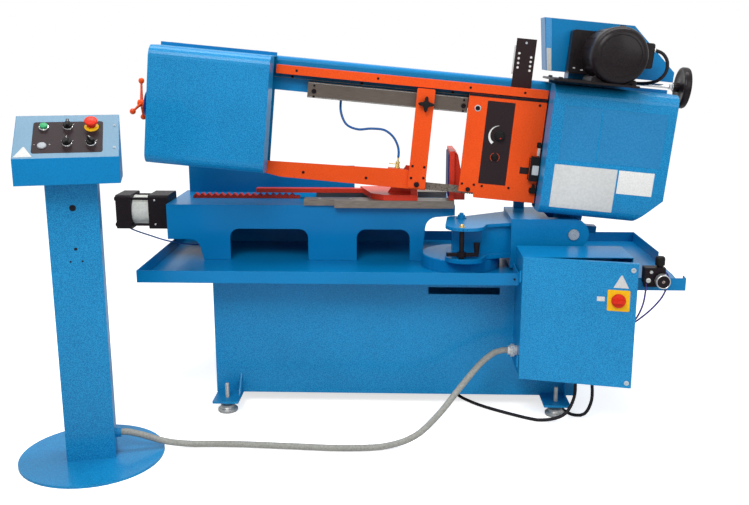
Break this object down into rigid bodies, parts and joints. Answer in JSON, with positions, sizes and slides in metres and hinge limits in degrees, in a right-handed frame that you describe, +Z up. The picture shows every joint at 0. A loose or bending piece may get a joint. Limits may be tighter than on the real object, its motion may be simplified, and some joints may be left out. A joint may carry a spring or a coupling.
{
  "type": "horizontal band saw",
  "caption": "Horizontal band saw: a tipping, swivelling saw head on a floor cabinet with chip tray, a powered vise, a drive motor and a free-standing control pedestal.",
  "frame": {"origin": "centre of the footprint of the whole machine with its pedestal, on the floor", "axes": "+X to the right along the vise bed, +Y to the back, +Z up; the saw head is at its rest angle, 5.4 degrees up"},
  "size_m": [2.3528, 1.387, 1.4425],
  "materials": {
    "blue": "hammertone enamel",
    "orange": "gloss enamel",
    "red": "gloss enamel",
    "steel": "ground and brushed",
    "iron": "machined",
    "black_metal": "satin black",
    "white": "smooth white",
    "brass": "turned",
    "black_plastic": "moulded",
    "green_plastic": "moulded",
    "red_plastic": "moulded",
    "grey_conduit": "ribbed sleeve",
    "black_cable": "smooth sheath",
    "hose": "smooth tube"
  },
  "bodies": {
    "base": {"base_cabinet": "blue", "levelling_foot_front_left": "iron", "levelling_foot_front_right": "iron", "levelling_foot_rear_left": "iron", "levelling_foot_rear_right": "iron", "chip_tray": "blue", "swivel_drum": "blue", "control_cabinet": "blue", "air_regulator": "black_metal", "vise_bed": "blue", "front_table_plate": "steel", "rear_table_plate": "steel", "fixed_vise_jaw": "red", "vise_cylinder_front_cap": "black_metal", "vise_cylinder_rear_cap": "black_metal", "vise_cylinder_barrel": "white", "pedestal_stand": "blue", "pedestal_box": "blue", "control_conduit": "grey_conduit", "pump_cable": "black_cable", "head_cable": "black_cable", "air_hose_inlet": "hose", "air_hose_outlet": "hose", "vise_air_line": "hose"},
    "swing_yoke": {"swing_frame": "blue", "head_pivot_shaft": "steel"},
    "lock_lever": {"swing_lock_lever": "black_metal"},
    "feed_barrel": {"feed_cylinder_barrel": "black_metal"},
    "feed_rod": {"feed_cylinder_rod": "steel"},
    "head": {"head_frame": "blue", "band_blade": "steel", "head_control_box": "orange", "guide_rail": "steel", "upper_blade_guard": "orange", "belt_guard": "blue", "drive_motor": "black_metal", "speed_scale_plate": "black_metal", "coolant_hose": "hose", "motor_conduit": "black_cable"},
    "idler_band_wheel": {"idler_wheel": "iron"},
    "drive_band_wheel": {"drive_wheel": "iron"},
    "idler_wheel_cover": {"idler_cover": "blue"},
    "drive_wheel_cover": {"drive_cover": "blue"},
    "handwheel": {"speed_handwheel": "black_metal"},
    "tension_screw": {"tension_handle": "orange"},
    "guide_arm": {"left_guide_arm": "orange", "lower_blade_guard": "orange", "coolant_valve": "brass"},
    "arm_knob": {"guide_arm_knob": "black_plastic"},
    "rate_knob": {"feed_rate_knob": "black_plastic"},
    "door": {"cabinet_door": "blue"},
    "main_switch": {"main_switch_knob": "red_plastic"},
    "pressure_knob": {"regulator_knob": "black_plastic"},
    "rack": {"vise_rack": "red"},
    "jaw": {"movable_vise_jaw": "red"},
    "start": {"start_button": "green_plastic"},
    "stop": {"emergency_stop": "red_plastic"},
    "feed_switch": {"feed_selector": "black_plastic"},
    "coolant_switch": {"coolant_selector": "black_plastic"},
    "vise_switch": {"vise_selector": "black_plastic"}
  },
  "joints": [
    {"name": "swing", "type": "hinge", "parent": "base", "child": "swing_yoke", "pos_m": [0.31557, 0.1615, 0.6], "axis": [0, 0, 1], "range_deg": [0, 45]},
    {"name": "lock_turn", "type": "hinge", "parent": "swing_yoke", "child": "lock_lever", "pos_m": [0.30657, -0.0165, 0.598], "axis": [0, 0, 1], "range_deg": [-35, 35]},
    {"name": "head_tip", "type": "hinge", "parent": "swing_yoke", "child": "head", "pos_m": [0.72357, 0.1895, 0.66], "axis": [0, 1, 0], "range_deg": [-5.4, 35]},
    {"name": "feed_barrel_tip", "type": "hinge", "parent": "swing_yoke", "child": "feed_barrel", "pos_m": [0.54857, 0.3215, 0.736], "axis": [0, 1, 0], "range_deg": [-6, 37]},
    {"name": "feed_rod_slide", "type": "slide", "parent": "feed_barrel", "child": "feed_rod", "axis": [0.0396, 0, 0.9992], "range_m": [-0.018, 0.118]},
    {"name": "drive_wheel_turn", "type": "hinge", "parent": "head", "child": "drive_band_wheel", "pos_m": [0.81623, 0.1615, 0.94956], "axis": [0, 1, 0], "continuous": true},
    {"name": "idler_wheel_turn", "type": "hinge", "parent": "head", "child": "idler_band_wheel", "pos_m": [-0.6124, 0.1615, 1.08461], "axis": [0, 1, 0], "continuous": true},
    {"name": "idler_cover_open", "type": "hinge", "parent": "head", "child": "idler_wheel_cover", "pos_m": [-0.5947, 0.1805, 1.32501], "axis": [-0.9956, 0, 0.0941], "range_deg": [0, 90]},
    {"name": "drive_cover_open", "type": "hinge", "parent": "head", "child": "drive_wheel_cover", "pos_m": [1.04198, 0.1815, 0.93626], "axis": [-0.0941, 0, -0.9956], "range_deg": [-90, 0]},
    {"name": "speed_wheel_turn", "type": "hinge", "parent": "head", "child": "handwheel", "pos_m": [1.13984, 0.3015, 1.18516], "axis": [0.9956, 0, -0.0941], "continuous": true},
    {"name": "tension_turn", "type": "hinge", "parent": "head", "child": "tension_screw", "pos_m": [-0.87979, 0.2165, 1.12495], "axis": [0.9956, 0, -0.0941], "continuous": true},
    {"name": "guide_arm_slide", "type": "slide", "parent": "head", "child": "guide_arm", "axis": [0.9956, 0, -0.0941], "range_m": [-0.2, 0.07]},
    {"name": "arm_knob_turn", "type": "hinge", "parent": "guide_arm", "child": "arm_knob", "pos_m": [0.17453, 0.1225, 1.13176], "axis": [0, 1, 0], "range_deg": [0, 180]},
    {"name": "feed_rate_turn", "type": "hinge", "parent": "head", "child": "rate_knob", "pos_m": [0.44771, 0.1215, 1.01453], "axis": [0, 1, 0], "range_deg": [0, 270]},
    {"name": "door_open", "type": "hinge", "parent": "base", "child": "door", "pos_m": [0.50657, -0.1918, 0.4], "axis": [0, 0, -1], "range_deg": [-12.5, 80]},
    {"name": "main_switch_turn", "type": "hinge", "parent": "door", "child": "main_switch", "pos_m": [0.82386, -0.26214, 0.498], "axis": [0.2164, 0.9763, 0], "range_deg": [0, 90]},
    {"name": "pressure_knob_turn", "type": "hinge", "parent": "base", "child": "pressure_knob", "pos_m": [0.96757, -0.2148, 0.612], "axis": [0, 0, 1], "range_deg": [0, 270]},
    {"name": "rack_slide", "type": "slide", "parent": "base", "child": "rack", "axis": [1, 0, 0], "range_m": [0, 0.05]},
    {"name": "jaw_slide", "type": "slide", "parent": "rack", "child": "jaw", "axis": [1, 0, 0], "range_m": [-0.26, 0.065]},
    {"name": "start_press", "type": "slide", "parent": "base", "child": "start", "axis": [-0.1463, 0.5458, -0.8251], "range_m": [0, 0.005], "stiffness_N_per_m": 300, "springref_m": -0.004},
    {"name": "stop_press", "type": "slide", "parent": "base", "child": "stop", "axis": [-0.1463, 0.5458, -0.8251], "range_m": [0, 0.006], "stiffness_N_per_m": 400, "springref_m": -0.006},
    {"name": "feed_switch_turn", "type": "hinge", "parent": "base", "child": "feed_switch", "pos_m": [-0.93445, -0.47681, 1.0941], "axis": [0.1463, -0.5458, 0.8251], "range_deg": [-45, 45]},
    {"name": "coolant_switch_turn", "type": "hinge", "parent": "base", "child": "coolant_switch", "pos_m": [-0.91779, -0.53898, 1.05003], "axis": [0.1463, -0.5458, 0.8251], "range_deg": [-45, 45]},
    {"name": "vise_switch_turn", "type": "hinge", "parent": "base", "child": "vise_switch", "pos_m": [-0.85114, -0.52112, 1.05003], "axis": [0.1463, -0.5458, 0.8251], "range_deg": [-45, 45]}
  ],
  "couplings": [
    {"joint": "feed_barrel_tip", "follows": "head_tip", "ratio": 1.05},
    {"joint": "feed_rod_slide", "follows": "head_tip", "m_per_rad": 0.186},
    {"joint": "idler_wheel_turn", "follows": "drive_wheel_turn", "ratio": 1}
  ]
}
